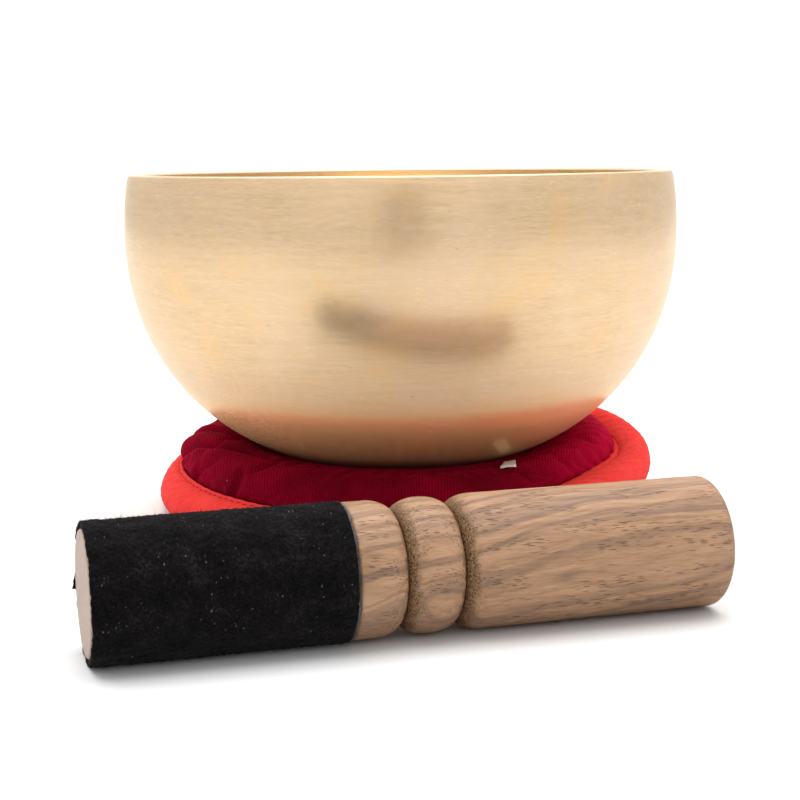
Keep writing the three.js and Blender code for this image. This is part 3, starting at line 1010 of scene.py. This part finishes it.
def sleeve_outline():
    """Section of the suede along the axis, a closed loop of (place, radius) with soft cut edges."""
    half = MALLET_LENGTH / 2
    start, end = -half + SUEDE_INSET, -half + SUEDE_LENGTH
    outer, inner = MALLET_RADIUS + 0.1, MALLET_RADIUS - SUEDE_THICKNESS
    soft = 0.45
    outside = np.linspace(start + soft, end - soft, 150)
    inside = np.linspace(end - soft, start + soft, 40)
    right_top = quarter(end - soft, outer - soft, soft, soft, 90, 0, 5)
    right_low = quarter(end - soft, inner + soft * 0.4, soft, soft * 0.4, 0, -90, 4)
    left_low = quarter(start + soft, inner + soft * 0.4, soft, soft * 0.4, -90, -180, 4)
    left_top = quarter(start + soft, outer - soft, soft, soft, 180, 90, 5)
    place = [outside, right_top[0][1:], right_low[0], inside[1:-1], left_low[0], left_top[0][:-1]]
    radius = [
        np.full(150, outer), right_top[1][1:], right_low[1],
        np.full(38, inner), left_low[1], left_top[1][:-1],
    ]
    return np.concatenate(place), np.concatenate(radius)


def make_sleeve():
    """The suede: its outline swept round the stick from one side of the slit to the other."""
    place, radius = sleeve_outline()
    rows, columns = len(place), SUEDE_COLUMNS
    half_slit = SUEDE_SLIT / MALLET_RADIUS / 2
    middle = -math.pi / 2 + SUEDE_SLIT_ANGLE
    angle = np.linspace(middle + half_slit, middle + 2 * math.pi - half_slit, columns)
    nap = 0.12 * ring_noise((rows, columns), 60, 90, 31) + 0.13 * random.normal(0, 1, (rows, columns))
    body = 0.12 * ring_noise((rows, columns), 9, 14, 33)
    outer = (radius > MALLET_RADIUS - 0.6)[:, None]
    full = radius[:, None] + np.where(outer, nap + body, 0)
    ragged = 0.16 * ring_noise((1, columns), 1, 120, 34) + 0.12 * ring_noise((1, columns), 1, 30, 35)
    from_seam = np.minimum(angle - angle[0], angle[-1] - angle)
    near_end = np.abs(place[:, None]) > MALLET_LENGTH / 2 - 2
    flap = 0.9 * np.exp(-((from_seam / 0.2) ** 2)) * (angle < middle + math.pi)
    near_middle = np.abs(place[:, None]) < MALLET_LENGTH / 2 - SUEDE_LENGTH + 2
    along = place[:, None] + np.where(near_end | near_middle, ragged, 0) - np.where(near_end, flap, 0)
    grid = np.stack([along, full * np.cos(angle), full * np.sin(angle)], -1)
    points = grid.transpose(1, 0, 2).reshape(-1, 3)
    piece = mesh_object("mallet_suede", points, rod_faces(0, columns, rows, reverse=True))
    dress(place_mallet(piece), black_suede(), "mallet", "black_suede", "mallet_suede_sleeve")
    make_nap_fibres()


FIBRES = 14000
# Half the width of a fibre at shares of its length, and the corners of its section.
FIBRE_WIDTHS = ((0.0, 0.045), (0.5, 0.035), (1.0, 0.012))
FIBRE_CORNERS = full_turn(3)


def make_nap_fibres():
    """Short loose fibres that stand off the suede."""
    half = MALLET_LENGTH / 2
    place = random.uniform(-half + 0.3, -half + SUEDE_LENGTH - 0.2, FIBRES)
    angle = random.uniform(0, 2 * np.pi, FIBRES)
    length = random.gamma(2.0, 0.16, FIBRES) + 0.25
    lean_along = random.normal(0, 0.7, FIBRES)
    lean_round = random.normal(0, 0.7, FIBRES)
    along = np.array([1, 0, 0])
    points, faces = [], []
    for x, a, long, tilt_x, tilt_a in zip(place, angle, length, lean_along, lean_round):
        out = np.array([0, math.cos(a), math.sin(a)])
        side = np.array([0, -math.sin(a), math.cos(a)])
        root = along * x + out * (MALLET_RADIUS - 0.15)
        bend = along * tilt_x + side * tilt_a
        base = len(points)
        for share, width in FIBRE_WIDTHS:
            centre = root + out * (long * share) + bend * (long * share**2)
            centre[2] = max(centre[2], -MALLET_RADIUS + 0.02)
            for turn in FIBRE_CORNERS:
                spoke = math.cos(turn) * side + math.sin(turn) * along
                points.append(centre + spoke * width)
        faces += rod_faces(base, len(FIBRE_WIDTHS), len(FIBRE_CORNERS))
    piece = mesh_object("mallet_suede_fibres", np.array(points), faces)
    dress(place_mallet(piece), suede_fibre(), "mallet", "black_suede")


def suede_fibre():
    s = Shader("suede_fibre")
    tone = s.noise(s.where(), 900.0, 1.0)
    color = s.ramp(tone, [(0.35, (0.004, 0.004, 0.004)), (0.65, (0.022, 0.020, 0.021))])
    s.set(Base_Color=color, Roughness=0.9, Specular_IOR_Level=0.1)
    return s


def black_suede():
    """Black suede: a mottled nap, grey cut edges and a few specks of lint."""
    s = Shader("black_suede")
    where = s.where()
    nap = s.noise(where, 1400.0, 3.0, 0.65)
    brushed = s.noise(s.stretch(where, (1.0, 1.4, 1.4)), 130.0, 4.0, 0.6)
    value = s.plus(s.times(nap, 0.55), s.times(brushed, 0.45))
    dark, middle, light = (0.0015, 0.0014, 0.0015), (0.0065, 0.0058, 0.0064), (0.030, 0.027, 0.029)
    color = s.ramp(value, [(0.32, dark), (0.54, middle), (0.76, light)])
    half = MALLET_LENGTH / 2
    x = s.parts(where)[0]
    edge = s.between(x, (-half + SUEDE_LENGTH - 0.55) * MM, (-half + SUEDE_LENGTH - 0.2) * MM)
    color = s.mix(edge, color, (0.10, 0.11, 0.13))
    specks = s.cells(s.stretch(where, (1.0, 1.0, 0.6)), 520.0)
    patches = s.between(s.noise(where, 150.0, 2.0), 0.40, 0.6)
    lint = s.times(s.between(specks, 0.14, 0.06), patches)
    color = s.mix(s.times(lint, 0.5), color, (0.20, 0.18, 0.18))
    s.set(Base_Color=color, Roughness=0.95, Normal=s.bump(value, 0.0004))
    s.set(Sheen_Weight=0.06, Sheen_Roughness=0.5, Sheen_Tint=(0.6, 0.56, 0.58, 1))
    s.set(Specular_IOR_Level=0.02)
    return s


# ---------------------------------------------------------------- floor, light and camera


FLOOR_SIDE = 3000.0
FLOOR_WHITE = (0.72, 0.72, 0.72)
# Painted shade for the floor far out.
FLOOR_FAR_SHADE = (0.42, 0.42, 0.42)


def stage_sheet(name, corners, shader):
    """A flat sheet that belongs to the studio and not to the object."""
    sheet = mesh_object(name, corners, [[0, 1, 2, 3]])
    sheet.data.materials.append(shader.material)
    return sheet


def make_floor():
    """A white floor with painted shade: a little darker far out at the sides and far in front of the
    object.
    """
    s = Shader("floor")
    place = s.parts(s.where())
    front_shade = s.between(place[1], -0.55, -0.95)
    side_shade = s.between(s.math("ABSOLUTE", place[0]), 0.9, 1.4)
    color = s.mix(s.math("MAXIMUM", front_shade, side_shade), FLOOR_WHITE, FLOOR_FAR_SHADE)
    s.set(Base_Color=color, Roughness=0.9, Specular_IOR_Level=0.0)
    signs = ((-1, -1), (1, -1), (1, 1), (-1, 1))
    stage_sheet("floor", [(x * FLOOR_SIDE, y * FLOOR_SIDE, 0) for x, y in signs], s)


def make_card(name, centre, size, color):
    """A matt card behind the camera, which shows as a darker patch in the bowl."""
    width, height = size
    x, y, low = centre
    left, right, high = x - width / 2, x + width / 2, low + height
    s = Shader(name)
    s.set(Base_Color=(*color, 1), Roughness=0.9)
    corners = [(left, y, low), (right, y, low), (right, y, high), (left, y, high)]
    stage_sheet(name, corners, s).visible_camera = False


# The room's strength by direction. Each goes from one part of the direction to another, and from
# one strength to another: out to the sides, up from the horizon, and straight behind the object.
ROOM_SIDES = (0.45, 0.75, 1.0, 0.88)
ROOM_HEIGHT = (-0.05, 0.30, 0.80, 1.14)
ROOM_BACKDROP = (0.90, 0.95, 0.0, 0.35)
OVERHEAD_ENERGY = 3.2
OVERHEAD_WIDTH = math.radians(70)
OVERHEAD_TILT = math.radians(-14)


def make_light():
    """Even studio light: a white room, a brighter backdrop and a wide soft light from above."""
    world = bpy.data.worlds.new("studio")
    world.use_nodes = True
    room = Nodes(world.node_tree)
    x, y, z = room.parts(room.where("Generated"))
    sides = room.between(room.math("ABSOLUTE", x), *ROOM_SIDES)
    height = room.between(z, *ROOM_HEIGHT)
    strength = room.plus(room.times(sides, height), room.between(y, *ROOM_BACKDROP))
    background = room.tree.nodes["Background"].inputs
    room.feed(background["Strength"], strength)
    room.feed(background["Color"], (1, 1, 1, 1))
    bpy.context.scene.world = world
    data = bpy.data.lights.new("overhead", "SUN")
    data.energy = OVERHEAD_ENERGY
    data.angle = OVERHEAD_WIDTH
    overhead = bpy.data.objects.new("overhead", data)
    overhead.rotation_euler = (OVERHEAD_TILT, 0, 0)
    bpy.context.scene.collection.objects.link(overhead)
    bpy.context.scene.view_settings.view_transform = "Standard"


CAMERA_PLACE = (-0.8, -565.0, 122.7)
CAMERA_PITCH = math.radians(8.57)
CAMERA_ROLL = math.radians(-0.612)
CAMERA_LENS = 74.79


def make_camera():
    data = bpy.data.cameras.new("camera")
    data.lens = CAMERA_LENS
    data.sensor_width = 36
    camera = bpy.data.objects.new("camera", data)
    look = Matrix.Rotation(math.pi / 2 - CAMERA_PITCH, 4, "X") @ Matrix.Rotation(CAMERA_ROLL, 4, "Z")
    camera.matrix_world = Matrix.Translation(Vector(CAMERA_PLACE) * MM) @ look
    bpy.context.scene.collection.objects.link(camera)
    bpy.context.scene.camera = camera


make_camera()
make_light()
make_floor()
make_card("camera_card", (0.0, -660.0, 30.0), (200.0, 240.0), (0.22, 0.19, 0.16))
make_card("side_card", (400.0, -550.0, 50.0), (90.0, 200.0), (0.4, 0.37, 0.34))
dress(make_bowl(), bell_metal(), "bowl", "bell_metal", "bowl")
make_cushion()
make_stick()
make_sleeve()
